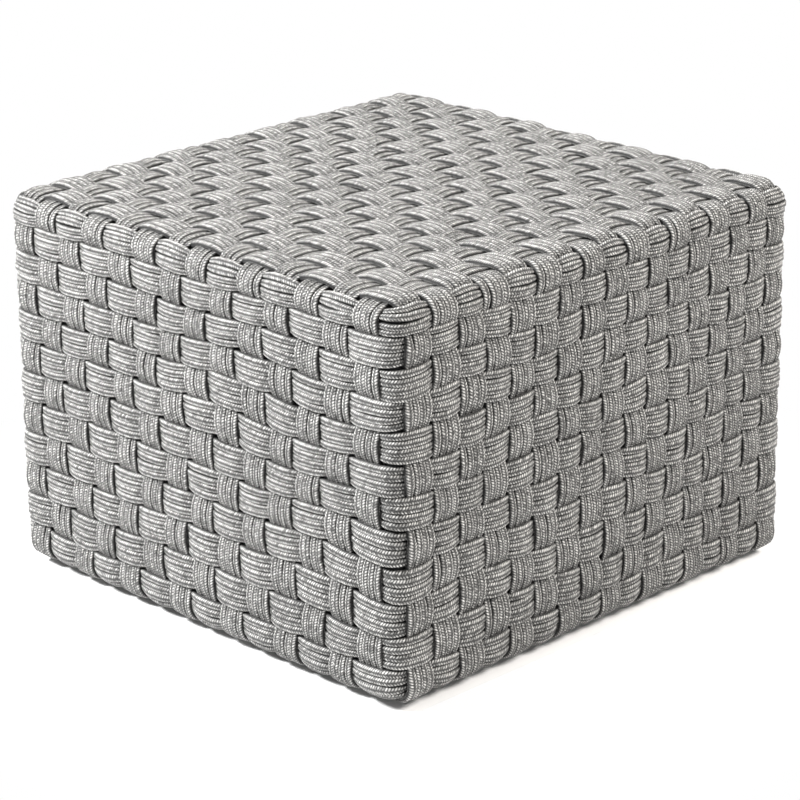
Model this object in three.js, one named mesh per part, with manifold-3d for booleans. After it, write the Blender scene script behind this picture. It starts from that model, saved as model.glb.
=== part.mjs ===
// Outdoor ottoman footstool: a box-shaped stool whose top and four walls are one basket weave of rope.
//
// Four parallel cords lie side by side as one flat band, and every band passes over one crossing band
// and under the next. The row bands are closed rings round the four walls. The front bands climb the
// front wall, cross the top and go down the back wall. The side bands do the same from the left wall
// to the right wall. Both tuck in under the bottom rails. Inside is a welded frame of round aluminium
// tube: two rail loops with tight bends, four corner posts between them, and stretchers under the top
// weave and between the bottom rails. Plastic saddle glides clip on the bottom stretchers and carry
// the stool.
//
// Lengths are in millimetres. The floor is z = 0, +Z is up, the front wall faces -Y, the left wall -X.

import * as THREE from 'three';
import Module from 'manifold-3d';
import { mergeVertices } from 'three/addons/utils/BufferGeometryUtils.js';

const wasm = await Module();
wasm.setup();

// Overall size, over the crests of the weave.
const overallWidth = 600;
const overallDepth = 590;
const overallHeight = 423;
const floorClearance = 3;

// Rope bands. A fill share is a band's width as a share of the spacing of its own kind.
const bandThickness = 4.5;
const weaveClearance = 1;
const tuckLength = 28;
const shortTuckGap = 2;
const rowFillShare = 0.9;
const frontFillShare = 0.9;
const sideFillShare = 0.8;

// Where the bands lie: the first and the last one's distance from the crests of the walls or the top
// that they run beside, and how much wider the last spacing is than the first, as a share of it.
const rowCount = 12;
const topRowInset = 20;
const bottomRowInset = 23;
const rowGrowthShare = 0.22;
const frontBandCount = 17;
const frontBandLeftInset = 36;
const frontBandRightInset = 33;
const frontGrowthShare = -0.19;
const sideBandCount = 14;
const sideBandFrontInset = 42;
const sideBandBackInset = 35;
const sideGrowthShare = -0.08;

// Tube frame.
const tubeDiameter = 20;
const railBend = 8;
const seatGap = 0.3;
const railClearance = 0.6;
const topStretcherShare = 0.33;
const bottomStretcherInset = 105;

// Saddle glides.
const glideLength = 38;
const glideWall = 4.5;
const glideLip = 2.5;
const glideChamfer = 2;
const glideInset = 95;

// Facets.
const tubeSides = 8;
const grooveSegments = 6;
const topEdgeAngles = [45, 80].map(THREE.MathUtils.degToRad);
const bottomEdgeAngles = [48].map(THREE.MathUtils.degToRad);
const cornerAngles = [22.5, 67.5].map(THREE.MathUtils.degToRad);
const bendCutAngle = THREE.MathUtils.degToRad(22.5);

// The weave swings this far to each side of its middle surface. It is just enough for the inner ridge
// of a band to clear the edges of the band that it crosses.
const fullestShare = Math.max(rowFillShare, frontFillShare, sideFillShare);
const waveHeight = (bandThickness + weaveClearance) / (2 - fullestShare);

// The middle surface rolls round the rails and posts at this radius, about a box that spans their axes.
const tubeRadius = tubeDiameter / 2;
const edgeRadius = tubeRadius + railClearance + bandThickness + waveHeight;
const axisInset = edgeRadius + waveHeight;
const axisBox = new THREE.Box3(
  new THREE.Vector3(axisInset - overallWidth / 2, axisInset - overallDepth / 2, axisInset + floorClearance),
  new THREE.Vector3(overallWidth / 2 - axisInset, overallDepth / 2 - axisInset, overallHeight - axisInset),
);

const axes = {
  x: new THREE.Vector3(1, 0, 0),
  y: new THREE.Vector3(0, 1, 0),
  z: new THREE.Vector3(0, 0, 1),
};
const left = { word: 'left', axis: 'x', sign: -1 };
const right = { word: 'right', axis: 'x', sign: 1 };
const front = { word: 'front', axis: 'y', sign: -1 };
const back = { word: 'back', axis: 'y', sign: 1 };
const top = { word: 'top', axis: 'z', sign: 1 };
const bottom = { word: 'bottom', axis: 'z', sign: -1 };

function planeOf(face) {
  return face.sign > 0 ? axisBox.max[face.axis] : axisBox.min[face.axis];
}

const materials = {
  rope: new THREE.MeshStandardMaterial({ color: 0x9b9a96, roughness: 0.9, metalness: 0 }),
  frame: new THREE.MeshStandardMaterial({ color: 0x6f7072, roughness: 0.55, metalness: 0.4 }),
  glide: new THREE.MeshStandardMaterial({ color: 0x1d1e20, roughness: 0.6, metalness: 0 }),
};

const ottoman = new THREE.Group();

function addMesh(name, geometry, material) {
  const mesh = new THREE.Mesh(geometry, material);
  mesh.name = name;
  ottoman.add(mesh);
  return mesh;
}

function twoDigits(number) {
  return String(number).padStart(2, '0');
}

// The four corners of the frame, with the faces that meet there and the words for a node's name.
function forEachCorner(build) {
  for (const depthFace of [front, back]) {
    for (const widthFace of [left, right]) {
      build(depthFace, widthFace, `${depthFace.word}_${widthFace.word}`);
    }
  }
}

// Places along a wall or the top, as lengths measured over the rolled middle surface.

function rollOver(place, axis) {
  const core = THREE.MathUtils.clamp(place, axisBox.min[axis], axisBox.max[axis]);
  return { core, tilt: (place - core) / edgeRadius };
}

function placeOnSurface(straight, axis) {
  const core = THREE.MathUtils.clamp(straight, axisBox.min[axis], axisBox.max[axis]);
  return core + edgeRadius * Math.asin((straight - core) / edgeRadius);
}

// Band centres from the first to the last, with the spacing growing evenly on the way.
function spreadCentres(count, first, last, growthShare) {
  const spacings = [];
  for (let gap = 0; gap < count - 1; gap += 1) {
    spacings.push(1 + growthShare * gap / Math.max(count - 2, 1));
  }
  const scale = (last - first) / spacings.reduce((sum, spacing) => sum + spacing, 0);
  const centres = [first];
  for (const spacing of spacings) {
    centres.push(centres.at(-1) + spacing * scale);
  }
  return centres;
}

// Each band's centre on the surface and its width, which follows the nearer of its two neighbours.
function bandPlaces(centres, axis, fillShare) {
  return centres.map((centre, index) => {
    const reaches = [centres[index - 1], centres[index + 1]]
      .filter((neighbour) => neighbour !== undefined)
      .map((neighbour) => Math.abs(neighbour - centre));
    return { centre: placeOnSurface(centre, axis), width: fillShare * Math.min(...reaches) };
  });
}

const rows = bandPlaces(
  spreadCentres(rowCount, overallHeight - topRowInset, floorClearance + bottomRowInset, rowGrowthShare),
  'z',
  rowFillShare,
);
const frontBands = bandPlaces(
  spreadCentres(
    frontBandCount,
    frontBandLeftInset - overallWidth / 2,
    overallWidth / 2 - frontBandRightInset,
    frontGrowthShare,
  ),
  'x',
  frontFillShare,
);
const sideBands = bandPlaces(
  spreadCentres(
    sideBandCount,
    sideBandFrontInset - overallDepth / 2,
    overallDepth / 2 - sideBandBackInset,
    sideGrowthShare,
  ),
  'y',
  sideFillShare,
);

// A station is a place on a band's route: the point of the axis box behind it, the way out from there,
// and how far the band is lifted off the middle surface. A lift of null is filled in from both sides.
function stationOn(face, alongAxis, place, lift) {
  const { core, tilt } = rollOver(place, alongAxis);
  const origin = new THREE.Vector3();
  origin[face.axis] = planeOf(face);
  origin[alongAxis] = core;
  const normal = new THREE.Vector3()
    .addScaledVector(axes[face.axis], face.sign * Math.cos(tilt))
    .addScaledVector(axes[alongAxis], Math.sin(tilt));
  return { origin, normal, lift };
}

function stationDistance(from, to) {
  const start = from.origin.clone().addScaledVector(from.normal, edgeRadius);
  const end = to.origin.clone().addScaledVector(to.normal, edgeRadius);
  return start.distanceTo(end);
}

// Walks from one station with a known lift to the next and shares the change out by distance.
function fillLifts(stations, closed) {
  const count = stations.length;
  const route = closed ? [...stations, ...stations] : stations;
  const known = route.flatMap((station, index) => (station.lift === null ? [] : [index]));
  for (let pair = 0; pair < known.length - 1; pair += 1) {
    const [start, end] = [known[pair], known[pair + 1]];
    const distances = [0];
    for (let index = start; index < end; index += 1) {
      distances.push(distances.at(-1) + stationDistance(route[index], route[index + 1]));
    }
    for (let index = start + 1; index < end; index += 1) {
      const share = distances[index - start] / distances.at(-1);
      stations[index % count].lift = THREE.MathUtils.lerp(route[start].lift, route[end].lift, share);
    }
  }
  return stations;
}

function surfacePoint(station, acrossAxis, place) {
  const { core, tilt } = rollOver(place, acrossAxis);
  const normal = station.normal.clone().multiplyScalar(Math.cos(tilt));
  normal.addScaledVector(axes[acrossAxis], Math.sin(tilt));
  const point = station.origin.clone().addScaledVector(normal, edgeRadius + station.lift);
  point[acrossAxis] += core;
  return { point, normal };
}

// A band's section: two thin edges and a ridge. The ridge is inside, so the face that shows is flat,
// but on a band that rolls over a rail the ridge is outside and the band hugs the rail.
function bandSection(station, acrossAxis, band, ridgeSide) {
  const lower = surfacePoint(station, acrossAxis, band.centre - band.width / 2).point;
  const upper = surfacePoint(station, acrossAxis, band.centre + band.width / 2).point;
  const { normal } = surfacePoint(station, acrossAxis, band.centre);
  const ridge = lower.clone().add(upper).multiplyScalar(1 / 2);
  ridge.addScaledVector(normal, ridgeSide * bandThickness);
  return [lower, upper, ridge];
}

// A closed solid through sections with equal numbers of points, as a ring or with flat ends.
function loftGeometry(sections, closed) {
  const sides = sections[0].length;
  const points = sections.flat();
  const triangles = [];
  const spans = closed ? sections.length : sections.length - 1;
  for (let span = 0; span < spans; span += 1) {
    const near = span * sides;
    const far = ((span + 1) % sections.length) * sides;
    for (let side = 0; side < sides; side += 1) {
      const next = (side + 1) % sides;
      triangles.push([near + side, near + next, far + next], [near + side, far + next, far + side]);
    }
  }
  if (!closed) {
    const end = points.length - sides;
    for (let side = 1; side < sides - 1; side += 1) {
      triangles.push([0, side + 1, side], [end, end + side, end + side + 1]);
    }
  }
  let volume = 0;
  for (const [a, b, c] of triangles) {
    volume += points[a].dot(points[b].clone().cross(points[c]));
  }
  const facingOut = volume > 0 ? triangles : triangles.map(([a, b, c]) => [a, c, b]);
  const geometry = new THREE.BufferGeometry().setFromPoints(points);
  geometry.setIndex(facingOut.flat());
  return flatShaded(geometry);
}

function flatShaded(geometry) {
  const faceted = geometry.toNonIndexed();
  faceted.computeVertexNormals();
  return faceted;
}

function alternateLift(over) {
  return over ? waveHeight : -waveHeight;
}

// Row bands: the walls are walked from the front's left end, and every upright band that they meet is
// counted on the way. Where the count and the row's number are both odd or both even, the row dips.
function rowStations(rowNumber) {
  const stations = [];
  let met = 0;
  const addWall = (face, alongAxis, bands, direction) => {
    const ordered = direction > 0 ? bands : [...bands].reverse();
    for (const band of ordered) {
      stations.push(stationOn(face, alongAxis, band.centre, alternateLift((met + rowNumber) % 2 === 1)));
      met += 1;
    }
    const corner = direction > 0 ? axisBox.max[alongAxis] : axisBox.min[alongAxis];
    for (const angle of cornerAngles) {
      stations.push(stationOn(face, alongAxis, corner + direction * edgeRadius * angle, null));
    }
  };
  addWall(front, 'x', frontBands, 1);
  addWall(right, 'y', sideBands, 1);
  addWall(back, 'x', frontBands, -1);
  addWall(left, 'y', sideBands, -1);
  return fillLifts(stations, true);
}

rows.forEach((row, index) => {
  const rowNumber = index + 1;
  const ridgeSide = index === 0 || index === rows.length - 1 ? 1 : -1;
  const sections = rowStations(rowNumber).map((station) => bandSection(station, 'z', row, ridgeSide));
  addMesh(`row_band_${twoDigits(rowNumber)}`, loftGeometry(sections, true), materials.rope);
});

// Upright bands: up one wall from under its bottom rail, over the top, and down the opposite wall.
// The two tuck places say how far they run in under the rails.
function uprightStations(startFace, endFace, crossedOnTop, startsOver, tuckPlaces) {
  const along = startFace.axis;
  const stations = [];
  let over = startsOver;
  const cross = (face, alongAxis, place) => {
    stations.push(stationOn(face, alongAxis, place, alternateLift(over)));
    over = !over;
  };
  const overTopEdge = (face) => topEdgeAngles.map((angle) => (
    stationOn(face, 'z', axisBox.max.z + edgeRadius * angle, null)
  ));
  const roundBottomEdge = (face, tuckPlace) => {
    const pastCorner = face.sign * (planeOf(face) - tuckPlace);
    const reached = bottomEdgeAngles.filter((angle) => edgeRadius * (angle - Math.PI / 2) < pastCorner);
    return [
      ...reached.map((angle) => stationOn(face, 'z', axisBox.min.z - edgeRadius * angle, null)),
      stationOn(bottom, along, tuckPlace, 0),
    ];
  };

  const [startTuck, endTuck] = tuckPlaces;
  stations.push(...roundBottomEdge(startFace, startTuck).reverse());
  [...rows].reverse().forEach((row) => cross(startFace, 'z', row.centre));
  stations.push(...overTopEdge(startFace));
  crossedOnTop.forEach((band) => cross(top, along, band.centre));
  stations.push(...overTopEdge(endFace).reverse());
  rows.forEach((row) => cross(endFace, 'z', row.centre));
  stations.push(...roundBottomEdge(endFace, endTuck));
  return fillLifts(stations, false);
}

function fullTucks(axis) {
  return [axisBox.min[axis] + tuckLength, axisBox.max[axis] - tuckLength];
}

// Beside the posts the side bands' tucks fill the space under the rails, so a front band that would
// meet them stops short at their edges.
const shortTucks = [
  sideBands[0].centre - sideBands[0].width / 2 - shortTuckGap,
  sideBands.at(-1).centre + sideBands.at(-1).width / 2 + shortTuckGap,
];
const sideTuckReach = axisInset + tuckLength;

frontBands.forEach((band, index) => {
  const number = index + 1;
  const clearOfSideTucks = Math.abs(band.centre) + band.width / 2 < overallWidth / 2 - sideTuckReach;
  const tuckPlaces = clearOfSideTucks ? fullTucks('y') : shortTucks;
  const stations = uprightStations(front, back, sideBands, number % 2 === 1, tuckPlaces);
  const sections = stations.map((station) => bandSection(station, 'x', band, -1));
  addMesh(`front_band_${twoDigits(number)}`, loftGeometry(sections, false), materials.rope);
});

sideBands.forEach((band, index) => {
  const number = index + 1;
  const stations = uprightStations(left, right, frontBands, number % 2 === 0, fullTucks('x'));
  const sections = stations.map((station) => bandSection(station, 'y', band, -1));
  addMesh(`side_band_${twoDigits(number)}`, loftGeometry(sections, false), materials.rope);
});

// Solids for cutting.

function toManifold(geometry) {
  const bare = geometry.clone();
  bare.deleteAttribute('normal');
  bare.deleteAttribute('uv');
  const merged = mergeVertices(bare);
  return new wasm.Manifold(new wasm.Mesh({
    numProp: 3,
    vertProperties: new Float32Array(merged.attributes.position.array),
    triVerts: new Uint32Array(merged.index.array),
  }));
}

function fromManifold(solid) {
  const mesh = solid.getMesh();
  const geometry = new THREE.BufferGeometry();
  geometry.setAttribute('position', new THREE.BufferAttribute(new Float32Array(mesh.vertProperties), 3));
  geometry.setIndex(Array.from(mesh.triVerts));
  return flatShaded(geometry);
}

// A loop of round tube round the corners of the axis box, with a tight two-cut bend at each.
function railLoop(height, radius) {
  const corners = [[-1, -1], [1, -1], [1, 1], [-1, 1]];
  const sections = corners.flatMap(([signX, signY]) => {
    const cutAlongX = bendSection(signX, signY, 'x', height, radius);
    const cutAlongY = bendSection(signX, signY, 'y', height, radius);
    return signX * signY > 0 ? [cutAlongY, cutAlongX] : [cutAlongX, cutAlongY];
  });
  return loftGeometry(sections, true);
}

// One cut of a bend: the section a little way along one rail, turned half way to the bend's own line.
function bendSection(signX, signY, alongAxis, height, radius) {
  const section = [];
  for (let side = 0; side < tubeSides; side += 1) {
    const angle = 2 * Math.PI * (side + 1 / 2) / tubeSides;
    const outward = radius * Math.cos(angle);
    const slide = outward * Math.tan(bendCutAngle) - railBend;
    const x = signX * (axisBox.max.x + (alongAxis === 'x' ? slide : outward));
    const y = signY * (axisBox.max.y + (alongAxis === 'x' ? outward : slide));
    section.push(new THREE.Vector3(x, y, height + radius * Math.sin(angle)));
  }
  return section;
}

// A straight tube between two points, coped to sit on the rail loops at its ends.
function copedTube(from, to, cutters) {
  const length = from.distanceTo(to);
  const tube = new THREE.CylinderGeometry(tubeRadius, tubeRadius, length, tubeSides);
  tube.applyQuaternion(new THREE.Quaternion().setFromUnitVectors(axes.y, to.clone().sub(from).normalize()));
  tube.translate(...from.clone().add(to).multiplyScalar(1 / 2).toArray());
  let solid = toManifold(tube);
  for (const cutter of cutters) {
    solid = solid.subtract(cutter);
  }
  return fromManifold(solid);
}

addMesh('top_rail_loop', railLoop(axisBox.max.z, tubeRadius), materials.frame);
addMesh('bottom_rail_loop', railLoop(axisBox.min.z, tubeRadius), materials.frame);
const topCutter = toManifold(railLoop(axisBox.max.z, tubeRadius + seatGap));
const bottomCutter = toManifold(railLoop(axisBox.min.z, tubeRadius + seatGap));

forEachCorner((depthFace, widthFace, corner) => {
  const foot = new THREE.Vector3(planeOf(widthFace), planeOf(depthFace), axisBox.min.z);
  const head = foot.clone().setZ(axisBox.max.z);
  addMesh(`corner_post_${corner}`, copedTube(foot, head, [topCutter, bottomCutter]), materials.frame);
});

function stretcher(x, z, cutter) {
  const from = new THREE.Vector3(x, axisBox.min.y, z);
  const to = new THREE.Vector3(x, axisBox.max.y, z);
  return copedTube(from, to, [cutter]);
}

const topStretcherPlace = topStretcherShare * overallWidth / 2;
const bottomStretcherPlace = overallWidth / 2 - bottomStretcherInset;
for (const face of [left, right]) {
  const upper = stretcher(face.sign * topStretcherPlace, axisBox.max.z, topCutter);
  const lower = stretcher(face.sign * bottomStretcherPlace, axisBox.min.z, bottomCutter);
  addMesh(`top_stretcher_${face.word}`, upper, materials.frame);
  addMesh(`bottom_stretcher_${face.word}`, lower, materials.frame);
}

// A saddle glide: a flat foot whose groove grips the stretcher a little past its middle.
function saddleGlide() {
  const groove = tubeRadius + seatGap;
  const half = groove + glideWall;
  const rim = axisBox.min.z + glideLip;
  const lipAngle = Math.asin(glideLip / groove);
  const profile = new THREE.Shape();
  profile.moveTo(glideChamfer - half, 0);
  profile.lineTo(half - glideChamfer, 0);
  profile.lineTo(half, glideChamfer);
  profile.lineTo(half, rim);
  profile.absarc(0, axisBox.min.z, groove, lipAngle, Math.PI - lipAngle, true);
  profile.lineTo(-half, rim);
  profile.lineTo(-half, glideChamfer);
  profile.closePath();
  const geometry = new THREE.ExtrudeGeometry(profile, {
    depth: glideLength,
    bevelEnabled: false,
    curveSegments: grooveSegments,
  });
  geometry.rotateX(Math.PI / 2);
  geometry.translate(0, glideLength / 2, 0);
  return geometry;
}

forEachCorner((depthFace, widthFace, corner) => {
  const glide = addMesh(`glide_${corner}`, saddleGlide(), materials.glide);
  glide.position.x = widthFace.sign * bottomStretcherPlace;
  glide.position.y = depthFace.sign * (overallDepth / 2 - glideInset);
});

export default ottoman;
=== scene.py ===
"""Looks of an outdoor ottoman footstool: a box of basket-woven rope bands over a hidden tube frame.

Every band is four braided cords side by side. Its place, width and route come from the fixed frame,
and its cords pass over and under the crossing bands where the frame's bands do.
"""

import logging
import math
from dataclasses import dataclass, field
from enum import Enum
from typing import Callable

import bpy
import numpy as np
from mathutils import Matrix, Vector


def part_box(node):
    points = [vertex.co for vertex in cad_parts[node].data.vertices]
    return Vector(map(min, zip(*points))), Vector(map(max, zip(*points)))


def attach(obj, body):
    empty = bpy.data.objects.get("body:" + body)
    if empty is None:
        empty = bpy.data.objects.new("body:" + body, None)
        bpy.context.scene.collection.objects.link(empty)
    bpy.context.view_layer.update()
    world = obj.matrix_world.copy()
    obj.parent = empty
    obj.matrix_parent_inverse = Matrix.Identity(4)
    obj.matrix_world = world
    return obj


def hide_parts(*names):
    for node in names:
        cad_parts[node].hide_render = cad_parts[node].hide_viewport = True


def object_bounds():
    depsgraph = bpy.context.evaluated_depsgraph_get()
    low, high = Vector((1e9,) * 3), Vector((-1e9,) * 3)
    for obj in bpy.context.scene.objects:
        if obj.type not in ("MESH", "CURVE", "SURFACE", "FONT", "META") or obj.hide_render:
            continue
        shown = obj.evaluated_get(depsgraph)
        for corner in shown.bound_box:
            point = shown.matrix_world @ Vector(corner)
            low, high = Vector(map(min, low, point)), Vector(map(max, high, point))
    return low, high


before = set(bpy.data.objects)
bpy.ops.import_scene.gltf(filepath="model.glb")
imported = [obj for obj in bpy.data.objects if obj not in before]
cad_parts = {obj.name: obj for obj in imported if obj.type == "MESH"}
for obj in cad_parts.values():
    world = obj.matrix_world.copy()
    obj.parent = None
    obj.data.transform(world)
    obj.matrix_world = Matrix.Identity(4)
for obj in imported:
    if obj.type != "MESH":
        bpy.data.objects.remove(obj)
CAD_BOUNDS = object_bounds()

MM = 0.001
BODY = "root"
UV_NAME = "cord_run"
TONE_NAME = "cord_tone"
SEAL_NAME = "cord_seal"
# How deep a cord has dived, which also masks the painted shade under crossing bands.
DIVE_NAME = "cord_dive"
# Mask of the painted shade along the cords' sides, where they press on each other.
SIDE_SHADE_NAME = "cord_side_shade"

Colour = tuple[float, float, float, float]

log = logging.getLogger("footstool")


class Axis(Enum):
    """The three axes of the part, by their place in a point."""

    X = 0
    Y = 1
    Z = 2

    def unit(self) -> np.ndarray:
        """The unit vector along this axis."""
        return np.eye(3)[self.value]


def node_box(name: str) -> np.ndarray:
    """The lowest and highest corner of a frame node, as two rows."""
    return np.array([list(corner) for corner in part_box(name)])


def corners(stem: str) -> dict[str, tuple[int, int]]:
    """Names four nodes at the footstool's corners.

    Args:
        stem: What their names start with.

    Returns:
        For each node, which end of X and of Y it is at: 0 is the low end, and 1 is the high end.
    """
    return {
        f"{stem}_{depth}_{side}": (across, along)
        for along, depth in enumerate(("front", "back"))
        for across, side in enumerate(("left", "right"))
    }


def smooth_step(share: np.ndarray) -> np.ndarray:
    """Eases a share that runs from 0 to 1, so that it starts and ends level."""
    return share * share * (3 - 2 * share)


@dataclass(frozen=True)
class CordSize:
    """Sizes of one braided cord and of the band that four of them make.

    Attributes:
        count: Cords in a band.
        sides: Points round a cord's section. A multiple of four puts one in each centre groove.
        thickness: Cord thickness where it lies flat on a float.
        groove: Depth of the groove between the two strand columns that show.
        rise: How far a cord's middle rises above the middle surface on a float.
        dive: How far it sinks below the middle surface under a crossing band.
        crown: How much lower a band's outer cords lie than its middle on a float.
        seat_crown: The same for the side bands on the top, which stand up between wider bands.
        seat_tilt: How much lower the front edge of a side band lies on the top than its back edge.
        pinch_share: How much narrower a band is where it dives under a crossing band.
        fullness: Width of a cord as a share of the room it has, as cords press on each other.
        tuck: How far a band runs in under the bottom rails.
        end_taper: Length over which a heat-sealed end rounds off.
        pick: Length of one strand of the braid along the cord.
        press_power: How narrow the strip of painted shade is where two cords press on each other.
        outer_press: How dark the painted shade on a band's outer side is, as a share of that
            between cords.
        section_power: Shape of the section: 1 is an ellipse, less is fuller at the shoulders.
    """

    count: int = 4
    sides: int = 12
    thickness: float = 6.9 * MM
    groove: float = 0.5 * MM
    rise: float = 4.9 * MM
    dive: float = 3.4 * MM
    crown: float = 1.2 * MM
    seat_crown: float = 2.4 * MM
    seat_tilt: float = 5.5 * MM
    pinch_share: float = 0.07
    fullness: float = 1.06
    tuck: float = 26 * MM
    end_taper: float = 3 * MM
    pick: float = 2.7 * MM
    press_power: float = 3.2
    outer_press: float = 0.7
    section_power: float = 0.75

    def angles(self) -> np.ndarray:
        """Angles of the points round a section."""
        return 2 * math.pi * np.arange(self.sides) / self.sides


@dataclass(frozen=True)
class HandWork:
    """How the hand weaving lies, and how uneven it is.

    Attributes:
        band_drift: Standard deviation of a whole band's sideways drift.
        cord_drift: Standard deviation of one cord's sideways drift in its band.
        cord_rise: Standard deviation of one cord's rise and fall against its neighbours.
        width_share: Standard deviation of a band's width, as a share of it.
        drift_limit: Furthest that a drift goes, in standard deviations.
        cord_spacing: Length of cord over which a cord's drift changes.
        band_spacing: Length of cord over which a band's drift and width change.
        fewest_steps: Fewest changes of a drift along a route.
        pull: Furthest that the whole weave is pulled out of place along its faces.
        pull_waves: Waves of the pull on the way round, each along x, y and z in turns per metre.
        pull_power: How near the faces of the weave's box the pull stays full: more is nearer.
        flat_share: Length that lies flat under a band, as a share of the bands' spacing.
        lone_share: Spacing of the bands where nothing crosses, as a share of twice a band's width.
        corner_level: Height at a corner, where nothing crosses, as a share of the wave.
    """

    band_drift: float = 0.9 * MM
    cord_drift: float = 0.32 * MM
    cord_rise: float = 0.38 * MM
    width_share: float = 0.03
    drift_limit: float = 2.0
    cord_spacing: float = 34 * MM
    band_spacing: float = 68 * MM
    fewest_steps: int = 4
    pull: float = 3.4 * MM
    pull_waves: tuple[tuple[float, ...], ...] = (
        (4.3, 2.1, 5.2),
        (-2.6, 4.9, 2.9),
        (5.6, -3.2, -4.4),
    )
    pull_power: int = 4
    flat_share: float = 0.3
    lone_share: float = 0.56
    corner_level: float = 0.45


@dataclass(frozen=True)
class Parting:
    """The one slit in the weave, where two cords of the top row part at the near corner.

    Attributes:
        node: The row's node.
        below: Number of the cord below the slit, from the lowest.
        gap: Width of the slit.
        away: How far its middle lies from the corner, back along the left wall.
        reach: Length from its middle to its ends.
    """

    node: str = "row_band_01"
    below: int = 1
    gap: float = 1.4 * MM
    away: float = 6 * MM
    reach: float = 34 * MM


@dataclass(frozen=True)
class AxisBox:
    """The box that spans the axes of the rails and posts, which every band rolls round.

    Attributes:
        low: Its lowest corner.
        high: Its highest corner.
        crest: Distance from it to the crests of the weave.
        radius: Distance from it to the middle surface of the weave.
    """

    low: np.ndarray
    high: np.ndarray
    crest: float
    radius: float

    @classmethod
    def from_frame(cls, cord: CordSize) -> "AxisBox":
        """Reads the box from the frame's posts and rails.

        Args:
            cord: Sizes of the cords, which set how deep the middle surface lies.

        Returns:
            The axis box.
        """
        near_post = node_box("corner_post_front_left").mean(axis=0)
        far_post = node_box("corner_post_back_right").mean(axis=0)
        low_rail = node_box("bottom_rail_loop").mean(axis=0)
        high_rail = node_box("top_rail_loop").mean(axis=0)
        low = np.array([near_post[0], near_post[1], low_rail[2]])
        high = np.array([far_post[0], far_post[1], high_rail[2]])
        crest = float(CAD_BOUNDS[1][2]) - high[2]
        return cls(low, high, crest, crest - cord.rise - cord.thickness / 2)

    def place(self, coordinate: float, axis: Axis) -> float:
        """Turns a coordinate of an outer edge into a length over the rolled middle surface.

        Args:
            coordinate: The edge's coordinate along the axis.
            axis: The axis that it is measured along.

        Returns:
            The same place, with its part past the axis box measured round the roll.
        """
        core = min(max(coordinate, self.low[axis.value]), self.high[axis.value])
        share = min(max((coordinate - core) / self.crest, -1), 1)
        return core + self.radius * math.asin(share)


@dataclass(frozen=True)
class Band:
    """One band as the frame has it.

    Attributes:
        node: Name of the frame node.
        across: The axis across the band.
        centre: Its middle, as a length over the middle surface.
        width: Its width over the middle surface, with its cords laid side by side.
    """

    node: str
    across: Axis
    centre: float
    width: float

    @classmethod
    def from_frame(cls, node: str, across: Axis, axis_box: AxisBox, spread: float) -> "Band":
        """Reads a band's middle and width from its node's box.

        Args:
            node: The band's node.
            across: The axis across it.
            axis_box: The box that it rolls round.
            spread: Width of the laid cords as a share of the node's width.

        Returns:
            The band.
        """
        low, high = node_box(node)[:, across.value]
        first = axis_box.place(low, across)
        last = axis_box.place(high, across)
        return cls(node, across, (first + last) / 2, spread * (last - first))


@dataclass(frozen=True)
class Crossing:
    """One place where a band meets a crossing band.

    Attributes:
        place: Length along the band's own route.
        over: Whether the band passes over.
        width: Width of the crossing band.
    """

    place: float
    over: bool
    width: float


@dataclass
class Run:
    """A straight stretch of a route along one face of the axis box.

    Attributes:
        start: Point of the axis box where it starts, with zero across the band.
        heading: Unit vector along the route.
        normal: Unit vector out of the face.
        length: Length of the stretch.
        begins: Length along the whole route at its start, filled in by the route.
    """

    start: np.ndarray
    heading: np.ndarray
    normal: np.ndarray
    length: float
    begins: float = 0.0


class Route:
    """A band's way round the box: straight runs, joined by quarter turns of one radius."""

    def __init__(self, runs: list[Run], radius: float, closed: bool) -> None:
        """Sets the runs end to end.

        Args:
            runs: The straight stretches in order. Each one's heading is the next one's normal.
            radius: Radius of the quarter turns.
            closed: Whether a last turn leads back to the first run.
        """
        self.runs = runs
        self.radius = radius
        self.closed = closed
        self.turn = radius * math.pi / 2
        reached = 0.0
        for run in runs:
            run.begins = reached
            reached += run.length + self.turn
        self.length = reached if closed else reached - self.turn

    def apart(self, places: np.ndarray, place: float) -> np.ndarray:
        """Measures from one place to others, the short way round a closed route.

        Args:
            places: Lengths along the route.
            place: The one that they are measured from.

        Returns:
            The signed lengths.
        """
        away = places - place
        if self.closed:
            away = (away + self.length / 2) % self.length - self.length / 2
        return away

    def trace(self, places: np.ndarray) -> tuple[np.ndarray, np.ndarray]:
        """Finds the points of the axis box and the normals behind lengths along the route.

        Args:
            places: Lengths along the route.

        Returns:
            The points and the unit normals, one row each.
        """
        if self.closed:
            places = np.mod(places, self.length)
        points = np.zeros((len(places), 3))
        normals = np.zeros((len(places), 3))
        for run in self.runs:
            along = places - run.begins
            angle = np.clip(along - run.length, 0, None) / self.radius
            here = (along >= 0) & (angle <= math.pi / 2)
            reach = np.clip(along, 0, run.length)[here, None]
            turned = angle[here, None]
            points[here] = run.start + reach * run.heading
            normals[here] = np.cos(turned) * run.normal + np.sin(turned) * run.heading
        return points, normals


@dataclass
class BandSet:
    """A set of bands side by side, which take the same route.

    Attributes:
        bands: The bands in the order of their numbers.
        route: Their route.
        crossed: The bands that cross each run of the route.
        odd_over: Whether a band with an odd number passes over the first band that it meets.
    """

    bands: list[Band]
    route: Route
    crossed: list[list[Band]]
    odd_over: bool

    def crossings(self, number: int) -> list[Crossing]:
        """Finds where a band passes over and under the bands that it meets, in turn.

        Args:
            number: The band's number, from 1.

        Returns:
            Its crossings in the order that it meets them.
        """
        met = []
        for run, bands in zip(self.route.runs, self.crossed):
            axis = int(np.abs(run.heading).argmax())
            start, heading = run.start[axis], run.heading[axis]
            met += sorted(
                (run.begins + heading * (band.centre - start), band.width) for band in bands
            )
        starts_over = (number % 2 == 1) == self.odd_over
        return [
            Crossing(place, (count % 2 == 0) == starts_over, width)
            for count, (place, width) in enumerate(met)
        ]


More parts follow.
